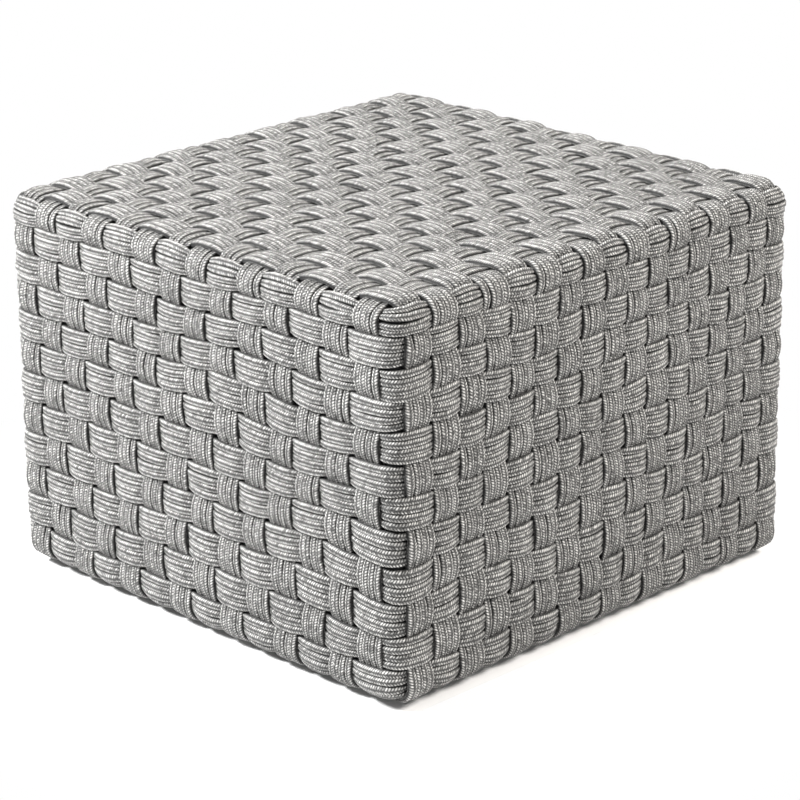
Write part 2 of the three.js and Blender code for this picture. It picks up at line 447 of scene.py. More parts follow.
@dataclass
class Weaver:
    """A weaver's hand, with seeded unevenness.

    Attributes:
        seed: Start of the random draws.
        hand: How uneven the weaving is.
    """

    seed: int
    hand: HandWork

    def __post_init__(self) -> None:
        """Starts a fixed series of random draws."""
        self.draws = np.random.default_rng(self.seed)

    def drift(self, places: np.ndarray, route: Route, spacing: float, size: float) -> np.ndarray:
        """Draws a smooth random drift along a route.

        Args:
            places: Lengths along the route where it is wanted.
            route: The route, whose ends meet if it is closed.
            spacing: Length over which the drift changes.
            size: Standard deviation of the drift.

        Returns:
            The drift at each place.
        """
        count = max(round(route.length / spacing), self.hand.fewest_steps)
        limit = self.hand.drift_limit * size
        knots = self.draws.normal(0, size, count + 1).clip(-limit, limit)
        if route.closed:
            knots[-1] = knots[0]
        position = np.clip(places / route.length, 0, 1) * count
        before = np.minimum(position.astype(int), count - 1)
        share = smooth_step(position - before)
        return knots[before] * (1 - share) + knots[before + 1] * share

    def level(self, size: float) -> float:
        """Draws one plain offset."""
        return float(self.draws.normal(0, size))

    def pull(self, points: np.ndarray, low: np.ndarray, high: np.ndarray) -> np.ndarray:
        """Pulls the whole weave a little out of place along its faces, and not off them.

        Args:
            points: Points of the weave.
            low: Lowest corner of the weave's box.
            high: Its highest corner.

        Returns:
            The points in their pulled places.
        """
        middle, half = (low + high) / 2, (high - low) / 2
        inside = np.clip(1 - ((points - middle) / half) ** self.hand.pull_power, 0, 1)
        waves = np.array(self.hand.pull_waves)
        turns = points @ waves.T
        shift = np.zeros_like(points)
        for axis in Axis:
            starts = np.arange(len(waves)) * (axis.value + 1) / len(waves)
            shift[:, axis.value] = np.sin(2 * math.pi * (turns + starts)).mean(axis=1)
        return points + self.hand.pull * inside * shift


@dataclass
class CordBuilder:
    """Collects cords as rings of points and turns them into one mesh.

    Attributes:
        points: Finished vertices.
        faces: Finished faces.
        runs: Two texture coordinates for each corner of each face: picks along, and turns around.
        tones: One shade value for each vertex.
        seals: How far each vertex is melted, where a cord's end is sealed.
        dives: How deep each vertex has dived under the crossing bands, which also sets the painted
            shade there.
        presses: How strongly each vertex takes the painted shade where it presses against the next
            cord.
        count: Vertices so far.
    """

    points: list[np.ndarray] = field(default_factory=list)
    faces: list[list[int]] = field(default_factory=list)
    runs: list[np.ndarray] = field(default_factory=list)
    tones: list[np.ndarray] = field(default_factory=list)
    seals: list[np.ndarray] = field(default_factory=list)
    dives: list[np.ndarray] = field(default_factory=list)
    presses: list[np.ndarray] = field(default_factory=list)
    count: int = 0

    def add(
        self,
        rings: np.ndarray,
        picks: np.ndarray,
        closed: bool,
        tone: float,
        seal: np.ndarray,
        dive: np.ndarray,
        press: np.ndarray,
    ) -> None:
        """Adds one cord.

        Args:
            rings: Points as an array of rings by sides by three.
            picks: Picks along the cord at each ring, with one more at the end if it is closed.
            closed: Whether the last ring joins the first.
            tone: The cord's own shade.
            seal: How far each ring is melted.
            dive: How deep each ring has dived, which also sets the painted shade there.
            press: How strongly each side of a ring takes the painted shade where it presses against
                the next cord.
        """
        number, sides, _ = rings.shape
        ring = np.arange(number if closed else number - 1)
        side = np.arange(sides)
        near, turn = np.meshgrid(ring, side, indexing="ij")
        far = (near + 1) % number
        ahead = (turn + 1) % sides
        quad = [(near, turn), (far, turn), (far, ahead), (near, ahead)]
        quads = np.stack([self.count + a * sides + b for a, b in quad], axis=-1).reshape(-1, 4)
        start, end = picks[near], picks[near + 1]
        low, high = turn / sides, (turn + 1) / sides
        placed = [(start, low), (end, low), (end, high), (start, high)]
        run = np.stack([np.stack(pair, axis=-1) for pair in placed], axis=2).reshape(-1, 2)
        self.points.append(rings.reshape(-1, 3))
        self.faces.extend(quads.tolist())
        self.runs.append(run)
        if not closed:
            around = np.arange(sides)
            first = self.count + around
            last = self.count + number * sides - 1 - around
            for cap, pick in ((first, picks[0]), (last, picks[-1])):
                self.faces.append(cap.tolist())
                self.runs.append(np.column_stack([np.full(sides, pick), around / sides]))
        self.tones.append(np.full(number * sides, tone))
        self.seals.append(np.repeat(seal, sides))
        self.dives.append(np.repeat(dive, sides))
        self.presses.append(np.tile(press, number))
        self.count += number * sides

    def mesh_object(self, name: str) -> bpy.types.Object:
        """Makes the mesh and its object, and links it to the scene.

        Args:
            name: Name of both.

        Returns:
            The object.
        """
        mesh = bpy.data.meshes.new(name)
        mesh.from_pydata(np.concatenate(self.points), [], self.faces)
        layer = mesh.uv_layers.new(name=UV_NAME)
        layer.data.foreach_set("uv", np.concatenate(self.runs).astype(np.float32).ravel())
        labelled = {
            TONE_NAME: self.tones,
            SEAL_NAME: self.seals,
            DIVE_NAME: self.dives,
            SIDE_SHADE_NAME: self.presses,
        }
        for label, values in labelled.items():
            shade = mesh.attributes.new(label, "FLOAT", "POINT")
            shade.data.foreach_set("value", np.concatenate(values).astype(np.float32))
        mesh.polygons.foreach_set("use_smooth", [True] * len(mesh.polygons))
        mesh.update()
        piece = bpy.data.objects.new(name, mesh)
        bpy.context.scene.collection.objects.link(piece)
        return piece


@dataclass
class WovenSkin:
    """The woven top and walls: rings of rows, and two sets of upright bands that cross on the top.

    Attributes:
        cord: Sizes of the cords.
        hand: Unevenness of the weaving.
        parting: The slit in the top row.
        row_count: Rows down the walls.
        front_count: Bands that climb the front wall.
        side_count: Bands that climb the left wall.
        row_spread: Width of a row's cords, as a share of its node's width.
        front_spread: The same for the bands that climb the front wall.
        side_spread: The same for the bands that climb the left wall.
        ring_step: Length of cord from one ring of points to the next.
        tip_places: Extra rings at a cord's end, as shares of its taper.
        tip_roundness: How far the very end draws in: 1 would be a point.
        seed: Start of the random draws.
    """

    cord: CordSize = CordSize()
    hand: HandWork = HandWork()
    parting: Parting = Parting()
    row_count: int = 12
    front_count: int = 17
    side_count: int = 14
    row_spread: float = 1.07
    front_spread: float = 1.03
    side_spread: float = 0.98
    ring_step: float = 4.2 * MM
    tip_places: tuple[float, ...] = (0.0, 0.12, 0.4)
    tip_roundness: float = 0.93
    seed: int = 7

    def __post_init__(self) -> None:
        """Reads the bands from the frame, and says which cross which."""
        self.box = AxisBox.from_frame(self.cord)
        rows = self.read_bands("row_band", self.row_count, Axis.Z, self.row_spread)
        fronts = self.read_bands("front_band", self.front_count, Axis.X, self.front_spread)
        sides = self.read_bands("side_band", self.side_count, Axis.Y, self.side_spread)
        self.band_sets = [
            BandSet(rows, self.row_route(), [fronts, sides, fronts, sides], True),
            BandSet(fronts, self.upright_route(Axis.Y), [[], rows, sides, rows, []], True),
            BandSet(sides, self.upright_route(Axis.X), [[], rows, fronts, rows, []], False),
        ]

    def read_bands(self, stem: str, count: int, across: Axis, spread: float) -> list[Band]:
        """Reads the bands whose nodes' names start with a stem, in the order of their numbers."""
        nodes = [f"{stem}_{number:02d}" for number in range(1, count + 1)]
        return [Band.from_frame(node, across, self.box, spread) for node in nodes]

    def join(self, points: list[np.ndarray], normals: list[np.ndarray], closed: bool) -> Route:
        """Joins points of the axis box by straight runs.

        Args:
            points: The points in order.
            normals: Unit vector out of the face of each run.
            closed: Whether a last run leads back to the first point.

        Returns:
            The route.
        """
        ends = points[1:] + points[:1]
        runs = []
        for start, end, normal in zip(points, ends, normals):
            length = float(np.linalg.norm(end - start))
            runs.append(Run(start, (end - start) / length, normal, length))
        return Route(runs, self.box.radius, closed)

    def row_route(self) -> Route:
        """Lays out the closed route of a row.

        Returns:
            The route: front, right, back and left wall.
        """
        low, high = self.box.low, self.box.high
        outline = [(low[0], low[1]), (high[0], low[1]), (high[0], high[1]), (low[0], high[1])]
        points = [np.array([x, y, 0.0]) for x, y in outline]
        normals = [-Axis.Y.unit(), Axis.X.unit(), Axis.Y.unit(), -Axis.X.unit()]
        return self.join(points, normals, closed=True)

    def upright_route(self, along: Axis) -> Route:
        """Lays out the open route of an upright band.

        Args:
            along: The axis along which it crosses the top.

        Returns:
            The route: tuck, wall, top, far wall and far tuck.
        """
        low, high = self.box.low, self.box.high
        first, last = low[along.value], high[along.value]
        floor, top = low[2], high[2]
        tuck = self.cord.tuck
        stops = [
            (first + tuck, floor),
            (first, floor),
            (first, top),
            (last, top),
            (last, floor),
            (last - tuck, floor),
        ]
        points = [level * along.unit() + height * Axis.Z.unit() for level, height in stops]
        up = Axis.Z.unit()
        normals = [-up, -along.unit(), up, along.unit(), -up]
        return self.join(points, normals, closed=False)

    def neighbour_gap(
        self, crossings: list[Crossing], index: int, step: int, route: Route
    ) -> float:
        """Measures from a crossing to the one after or before it.

        Args:
            crossings: The band's crossings.
            index: Where the crossing stands among them.
            step: 1 for the one after it, or -1 for the one before.
            route: The band's route.

        Returns:
            The length between them, or the longest that a cord takes to rise if that is less.
        """
        crossing, other = crossings[index], index + step
        gap = reach = 2 * crossing.width * self.hand.lone_share
        if route.closed:
            gap = (step * (crossings[other % len(crossings)].place - crossing.place)) % route.length
        elif 0 <= other < len(crossings):
            gap = abs(crossings[other].place - crossing.place)
        return min(gap, reach)

    def dive_share(
        self, places: np.ndarray, crossings: list[Crossing], route: Route
    ) -> np.ndarray:
        """Works out how deep a band has dived at each place: 0 on a float, 1 under a band.

        Args:
            places: Lengths along the route.
            crossings: The band's crossings.
            route: The band's route.

        Returns:
            The share of the dive at each place.
        """
        depth = np.zeros(len(places))
        flat = self.hand.flat_share
        for index, crossing in enumerate(crossings):
            if crossing.over:
                continue
            away = route.apart(places, crossing.place)
            before = self.neighbour_gap(crossings, index, -1, route)
            after = self.neighbour_gap(crossings, index, 1, route)
            share = np.abs(away) / np.where(away < 0, before, after)
            progress = np.clip((share - flat) / (1 - flat), 0, 1)
            depth = np.maximum(depth, 1 - np.sin(math.pi / 2 * progress))
        return depth

    def float_level(self, places: np.ndarray, route: Route) -> np.ndarray:
        """Works out how high a band floats: lower at a row's corners and on the tucks.

        Args:
            places: Lengths along the route.
            route: The band's route.

        Returns:
            The height of a float at each place, as a share of the wave.
        """
        level = np.ones(len(places))
        if route.closed:
            for run in route.runs:
                middle = run.begins + run.length + route.turn / 2
                near = np.clip(1 - np.abs(route.apart(places, middle)) / route.turn, 0, 1)
                level -= (1 - self.hand.corner_level) * smooth_step(near)
            return level
        _, climb, _, descent, _ = route.runs
        start = climb.begins - route.turn / 2
        end = descent.begins + descent.length + route.turn / 2
        level *= np.clip((places - start) / route.turn + 1, 0, 1)
        return level * np.clip((end - places) / route.turn + 1, 0, 1)

    def ring_places(self, route: Route) -> tuple[np.ndarray, np.ndarray]:
        """Spaces the rings of points along a route.

        Args:
            route: The route.

        Returns:
            The length along the route of each ring, and its size, which falls off at an open end.
        """
        steps = round(route.length / self.ring_step)
        if route.closed:
            return np.linspace(0, route.length, steps, endpoint=False), np.ones(steps)
        taper = self.cord.end_taper
        tip = taper * np.array(self.tip_places)
        body = np.linspace(taper, route.length - taper, steps)
        places = np.concatenate([tip, body, route.length - tip[::-1]])
        inset = np.minimum(places, route.length - places)
        left = np.clip(1 - inset / taper, 0, 1) * self.tip_roundness
        return places, np.sqrt(1 - left * left)

    def droop(self, band: Band, share: float, normals: np.ndarray) -> np.ndarray:
        """Works out how much lower one cord of a band lies on a float than its highest cord.

        Args:
            band: The band.
            share: The cord's place across it, from -0.5 to 0.5.
            normals: Normals of the route at each ring.

        Returns:
            The drop at each ring.
        """
        crown = np.full(len(normals), self.cord.crown)
        tilt = np.zeros(len(normals))
        if band.across is Axis.Y:
            on_top = normals[:, 2].clip(0) ** 2
            crown += (self.cord.seat_crown - self.cord.crown) * on_top
            tilt += self.cord.seat_tilt * on_top
        return crown * (2 * share) ** 2 + tilt * (0.5 - share)

    def lay_cords(
        self,
        band: Band,
        route: Route,
        crossings: list[Crossing],
        builder: CordBuilder,
        weaver: Weaver,
    ) -> None:
        """Lays the cords of one band.

        Args:
            band: The band.
            route: Its route round the box.
            crossings: Its crossings.
            builder: Collects the cords.
            weaver: Draws the unevenness.
        """
        cord, hand = self.cord, self.hand
        places, ends = self.ring_places(route)
        points, normals = route.trace(places)
        depth = self.dive_share(places, crossings, route)
        height = cord.rise * self.float_level(places, route) * (1 - depth) - cord.dive * depth
        band_drift = weaver.drift(places, route, hand.band_spacing, hand.band_drift)
        swell = 1 + weaver.drift(places, route, hand.band_spacing, hand.width_share)
        width = band.width * swell * (1 - cord.pinch_share * depth)
        for number in range(cord.count):
            share = (number + 0.5) / cord.count - 0.5
            across = band.centre + band_drift + share * width
            across += weaver.drift(places, route, hand.cord_spacing, hand.cord_drift)
            across += self.part(band, number, places, route)
            rise = height - self.droop(band, share, normals) * (1 - depth)
            rise += weaver.drift(places, route, hand.cord_spacing, hand.cord_rise)
            room = width / cord.count
            rings, picks = self.cord_rings(
                points, normals, band.across, across, rise, room, ends, route.closed
            )
            # Mask of the painted shade along the cord's sides.
            press = self.side_shade_mask(rings, band.across, number)
            builder.add(rings, picks, route.closed, weaver.level(1), 1 - ends, depth, press)

    def part(self, band: Band, number: int, places: np.ndarray, route: Route) -> np.ndarray:
        """Moves a cord aside where the band parts.

        Args:
            band: The cord's band.
            number: The cord's number in it.
            places: Lengths along the route.
            route: The route.

        Returns:
            How far the cord moves across the band at each place.
        """
        if band.node != self.parting.node:
            return np.zeros(len(places))
        corner = route.length - route.turn / 2
        away = np.abs(places - corner + self.parting.away)
        near = smooth_step(np.clip(1 - away / self.parting.reach, 0, 1))
        side = 1 if number > self.parting.below else -1
        return side * self.parting.gap / 2 * near

    def side_shade_mask(self, rings: np.ndarray, across_axis: Axis, number: int) -> np.ndarray:
        """Works out the painted shade on a cord's sides where it presses on the next cord, weaker
        on a band's outer side.

        Args:
            rings: The cord's rings.
            across_axis: The axis across the band.
            number: The cord's number in the band.

        Returns:
            The painted shade from 0 to 1 at each side of a ring.
        """
        first = rings[0, 0] - rings[0].mean(axis=0)
        reach = np.cos(self.cord.angles()) * np.sign(first @ across_axis.unit())
        press = np.abs(reach) ** self.cord.press_power
        if number == 0:
            press[reach < 0] *= self.cord.outer_press
        if number == self.cord.count - 1:
            press[reach > 0] *= self.cord.outer_press
        return press

    def cord_rings(
        self,
        points: np.ndarray,
        normals: np.ndarray,
        across_axis: Axis,
        across: np.ndarray,
        rise: np.ndarray,
        width: np.ndarray,
        ends: np.ndarray,
        closed: bool,
    ) -> tuple[np.ndarray, np.ndarray]:
        """Sweeps a cord's section along the middle surface.

        Args:
            points: Points of the axis box behind each ring.
            normals: Normals of the route at each ring.
            across_axis: The axis across the band.
            across: The cord's place across the band, over the middle surface.
            rise: The cord's height above the middle surface.
            width: The room that the cord has in its band.
            ends: Size of each ring, which falls off at an open end.
            closed: Whether the route is closed.

        Returns:
            The rings, and the picks along the cord at each, with the total last if it is closed.
        """
        unit = across_axis.unit()
        low, high = self.box.low[across_axis.value], self.box.high[across_axis.value]
        core = np.clip(across, low, high)
        roll = (across - core) / self.box.radius
        outward = np.cos(roll)[:, None] * normals + np.sin(roll)[:, None] * unit
        middle = points + core[:, None] * unit + (self.box.radius + rise)[:, None] * outward
        if closed:
            ahead = np.roll(middle, -1, axis=0) - np.roll(middle, 1, axis=0)
        else:
            ahead = np.gradient(middle, axis=0)
        ahead /= np.linalg.norm(ahead, axis=1)[:, None]
        outward = outward - (outward * ahead).sum(axis=1)[:, None] * ahead
        outward /= np.linalg.norm(outward, axis=1)[:, None]
        sideways = np.cross(ahead, outward)
        fan = 1 + np.where(across == core, 0, rise / self.box.radius)
        narrow = width / width.max()
        half_width = width / 2 * self.cord.fullness * fan * ends
        half_height = self.cord.thickness / 2 / np.sqrt(narrow) * ends
        angles = self.cord.angles()
        up = np.sin(angles)
        in_groove = np.isclose(np.abs(up), 1)
        full = np.sign(up) * np.abs(up) ** self.cord.section_power
        lift = full[None, :] * (half_height[:, None] - self.cord.groove * in_groove[None, :])
        spread = np.cos(angles)[None, :] * half_width[:, None]
        rings = (
            middle[:, None, :]
            + lift[:, :, None] * outward[:, None, :]
            + spread[:, :, None] * sideways[:, None, :]
        )
        following = np.roll(middle, -1, axis=0) if closed else middle[1:]
        gaps = np.linalg.norm(following - middle[: len(following)], axis=1)
        picks = np.concatenate([[0], np.cumsum(gaps)]) / self.cord.pick
        return rings, picks * round(picks[-1]) / picks[-1]

    def build(self, material: bpy.types.Material) -> list[bpy.types.Object]:
        """Weaves every band as a piece of its own, in place of its node.

        Args:
            material: The cords' material.

        Returns:
            The pieces.
        """
        pieces = []
        weaver = Weaver(self.seed, self.hand)
        low, high = (np.array(corner) for corner in CAD_BOUNDS)
        for band_set in self.band_sets:
            for number, band in enumerate(band_set.bands, start=1):
                builder = CordBuilder()
                crossings = band_set.crossings(number)
                self.lay_cords(band, band_set.route, crossings, builder, weaver)
                builder.points = [weaver.pull(points, low, high) for points in builder.points]
                piece = builder.mesh_object(f"{band.node}_cords")
                Bench.hand_over(piece, band.node, "rope", material)
                pieces.append(piece)
        return pieces


class Graph:
    """Adds nodes to a node tree and links them."""

    def __init__(self, tree: bpy.types.NodeTree) -> None:
        """Keeps the tree and empties it."""
        self.tree = tree
        tree.nodes.clear()

    def node(
        self, kind: str, inputs: dict[str | int, object] | None = None, **settings: object
    ) -> bpy.types.Node:
        """Adds one node.

        Args:
            kind: Type name of the node.
            inputs: Values or sockets for its inputs, by name or number.
            settings: Plain settings of the node.

        Returns:
            The node.
        """
        made = self.tree.nodes.new(kind)
        for name, value in settings.items():
            setattr(made, name, value)
        for key, value in (inputs or {}).items():
            if isinstance(value, bpy.types.NodeSocket):
                self.tree.links.new(value, made.inputs[key])
            else:
                made.inputs[key].default_value = value
        return made

    def math(self, operation: str, *values: object) -> bpy.types.NodeSocket:
        """Adds a Math node and returns its result."""
        inputs = dict(enumerate(values))
        return self.node("ShaderNodeMath", inputs, operation=operation).outputs[0]

    def vector(self, operation: str, *values: object) -> bpy.types.NodeOutputs:
        """Adds a Vector Math node and returns its outputs."""
        inputs = dict(enumerate(values))
        return self.node("ShaderNodeVectorMath", inputs, operation=operation).outputs

    def scaled(self, colour: object, share: object) -> bpy.types.NodeSocket:
        """Takes a share of a colour."""
        inputs = {0: colour, 3: share}
        return self.node("ShaderNodeVectorMath", inputs, operation="SCALE").outputs[0]

    def centred(self, share: bpy.types.NodeSocket) -> bpy.types.NodeSocket:
        """Shifts a share so that its middle is zero."""
        return self.math("SUBTRACT", share, 0.5)

    def rounded(self, share: bpy.types.NodeSocket, power: float) -> bpy.types.NodeSocket:
        """Turns a share into a bump that is 1 in its middle and 0 at its ends."""
        edge = self.math("ABSOLUTE", self.math("MULTIPLY_ADD", share, 2.0, -1.0))
        return self.math("SUBTRACT", 1.0, self.math("POWER", edge, power))

    def faded(self, value: bpy.types.NodeSocket, share: object) -> bpy.types.NodeSocket:
        """Weakens a pattern: a share of it is kept, and the rest turns to 1."""
        kept = self.math("MULTIPLY", self.math("SUBTRACT", value, 1.0), share)
        return self.math("ADD", kept, 1.0)

    def cell_shade(self, *cell: object) -> bpy.types.NodeSocket:
        """Draws one random shade for each cell.

        Args:
            cell: Up to three whole numbers that tell a cell from the others.

        Returns:
            The shade, from 0 to 1.
        """
        key = self.node("ShaderNodeCombineXYZ", dict(enumerate(cell))).outputs[0]
        noise = self.node("ShaderNodeTexWhiteNoise", {"Vector": key}, noise_dimensions="3D")
        return noise.outputs["Value"]

    def noise(self, place: object, scale: object, detail: float) -> bpy.types.NodeSocket:
        """Adds a soft noise and returns its value."""
        inputs = {"Vector": place, "Scale": scale, "Detail": detail}
        return self.node("ShaderNodeTexNoise", inputs).outputs[0]

    def clamped(self, value: bpy.types.NodeSocket) -> bpy.types.NodeSocket:
        """Keeps a value between 0 and 1."""
        return self.math("MINIMUM", self.math("MAXIMUM", value, 0.0), 1.0)

    def mix(self, factor: object, first: object, second: object) -> bpy.types.NodeSocket:
        """Mixes two colours and returns the result."""
        made = self.node("ShaderNodeMix", {0: factor, 6: first, 7: second}, data_type="RGBA")
        return made.outputs[2]

    def attribute(self, name: str) -> bpy.types.NodeSocket:
        """Reads one number that is stored on the mesh."""
        return self.node("ShaderNodeAttribute", attribute_name=name).outputs["Fac"]

    def object_place(self) -> bpy.types.NodeSocket:
        """Reads the place on the object."""
        return self.node("ShaderNodeTexCoord").outputs["Object"]

    def mix_shader(self, factor: object, first: object, second: object) -> bpy.types.NodeSocket:
        """Mixes two shaders and returns the result."""
        return self.node("ShaderNodeMixShader", {0: factor, 1: first, 2: second}).outputs[0]

    def finish(self, height: object, relief: float, inputs: dict[str | int, object]) -> None:
        """Ends a material in a shader with a relief.

        Args:
            height: The relief's pattern.
            relief: Its depth.
            inputs: The shader's other inputs.
        """
        bumped = {"Height": height, "Distance": relief, "Strength": 1.0}
        normal = self.node("ShaderNodeBump", bumped).outputs[0]
        shader = self.node("ShaderNodeBsdfPrincipled", {**inputs, "Normal": normal}).outputs[0]
        self.node("ShaderNodeOutputMaterial", {"Surface": shader})


def new_material(name: str) -> tuple[bpy.types.Material, Graph]:
    """Makes a material whose node tree is empty.

    Args:
        name: Name of the material.

    Returns:
        The material, and a graph on its tree.
    """
    made = bpy.data.materials.new(name)
    made.use_nodes = True
    return made, Graph(made.node_tree)


def new_group(
    name: str, inputs: dict[str, tuple[str, object]], outputs: dict[str, str]
) -> Graph:
    """Makes a shader node group with named sockets.

    Args:
        name: Name of the group.
        inputs: Socket type and default for each input.
        outputs: Socket type for each output.

    Returns:
        A graph on the new group.
    """
    tree = bpy.data.node_groups.new(name, "ShaderNodeTree")
    for label, (kind, default) in inputs.items():
        socket = tree.interface.new_socket(label, in_out="INPUT", socket_type=kind)
        if default is not None:
            socket.default_value = default
    for label, kind in outputs.items():
        tree.interface.new_socket(label, in_out="OUTPUT", socket_type=kind)
    return Graph(tree)


@dataclass(frozen=True)
class Braid:
    """The slanted strands of a braid, drawn along a cord, with painted shade in their grooves.

    Attributes:
        columns: Columns of strands round the cord.
        slant: How far a strand runs along while it crosses its column, in picks.
        strand_depth: Share of each strand's own rounding that is kept.
        yarns: Yarns in a strand.
        yarn_depth: Height of the yarns' ridges as a share of the relief.
        groove_width: How wide the painted shade of the grooves is: more is wider.
        column_power: How flat a column is across: 2 is round, and less is sharper.
        strand_power: The same along the cord, for a strand and a yarn.
    """

    columns: float = 4.0
    slant: float = 1.1
    strand_depth: float = 1.0
    yarns: float = 3.0
    yarn_depth: float = 0.15
    groove_width: float = 1.8
    column_power: float = 1.8
    strand_power: float = 2.0

    def group(self) -> bpy.types.NodeTree:
        """Makes the node group.

        Returns:
            The group. It puts out the relief, the painted shade of the grooves, a shade for each
            strand and a shade for each yarn.
        """
        number = "NodeSocketFloat"
        graph = new_group(
            "Braid",
            {
                "Run": ("NodeSocketVector", None),
                "Columns": (number, self.columns),
                "Slant": (number, self.slant),
                "Strand Depth": (number, self.strand_depth),
                "Yarns": (number, self.yarns),
                "Yarn Depth": (number, self.yarn_depth),
                "Groove Width": (number, self.groove_width),
                "Seed": (number, 0.0),
            },
            {"Height": number, "Light": number, "Strand Shade": number, "Yarn Shade": number},
        )
        given = graph.node("NodeGroupInput").outputs
        parts = graph.node("ShaderNodeSeparateXYZ", {0: given["Run"]}).outputs
        place = graph.math("MULTIPLY", parts["Y"], given["Columns"])
        column = graph.math("FLOOR", place)
        across = graph.math("FRACT", place)
        parity = graph.math("MODULO", column, 2.0)
        sign = graph.math("MULTIPLY_ADD", parity, -2.0, 1.0)
        slant = graph.math("MULTIPLY", sign, given["Slant"])
        lean = graph.math("MULTIPLY", slant, graph.centred(across))
        half_pick = graph.math("MULTIPLY", parity, 0.5)
        phase = graph.math("ADD", graph.math("ADD", parts["X"], lean), half_pick)
        strand = graph.math("FLOOR", phase)
        yarn_phase = graph.math("MULTIPLY", phase, given["Yarns"])
        yarn = graph.math("FLOOR", yarn_phase)
        column_round = graph.rounded(across, self.column_power)
        strand_round = graph.rounded(graph.math("FRACT", phase), self.strand_power)
        strand_round = graph.faded(strand_round, given["Strand Depth"])
        yarn_round = graph.rounded(graph.math("FRACT", yarn_phase), self.strand_power)
        full = graph.math("MAXIMUM", graph.math("MULTIPLY", column_round, strand_round), 0.0)
        ridges = graph.math("MULTIPLY", yarn_round, given["Yarn Depth"])
        graph.node(
            "NodeGroupOutput",
            {
                "Height": graph.math("ADD", graph.math("SQRT", full), ridges),
                # Painted shade in the grooves between strands and columns.
                "Light": graph.math("POWER", full, given["Groove Width"]),
                "Strand Shade": graph.cell_shade(strand, column, given["Seed"]),
                "Yarn Shade": graph.cell_shade(yarn, column, given["Seed"]),
            },
        )
        return graph.tree


@dataclass(frozen=True)
class Grain:
    """The fine grain and the blotches of a coated or moulded surface.

    Attributes:
        grain_scale: Scale of the grain's noise.
        grain_detail: Its detail.
        blotch_scale: Scale of the blotches' noise.
        blotch_detail: Its detail.
    """

    grain_scale: float = 900.0
    grain_detail: float = 3.0
    blotch_scale: float = 14.0
    blotch_detail: float = 4.0

    def group(self) -> bpy.types.NodeTree:
        """Makes the node group.

        Returns:
            The group. It puts out the grain and the blotches.
        """
        number = "NodeSocketFloat"
        graph = new_group(
            "Grain",
            {
                "Place": ("NodeSocketVector", None),
                "Grain Scale": (number, self.grain_scale),
                "Blotch Scale": (number, self.blotch_scale),
            },
            {"Grain": number, "Blotch": number},
        )
        given = graph.node("NodeGroupInput").outputs
        place = given["Place"]
        grain = graph.noise(place, given["Grain Scale"], self.grain_detail)
        blotch = graph.noise(place, given["Blotch Scale"], self.blotch_detail)
        graph.node("NodeGroupOutput", {"Grain": grain, "Blotch": blotch})
        return graph.tree


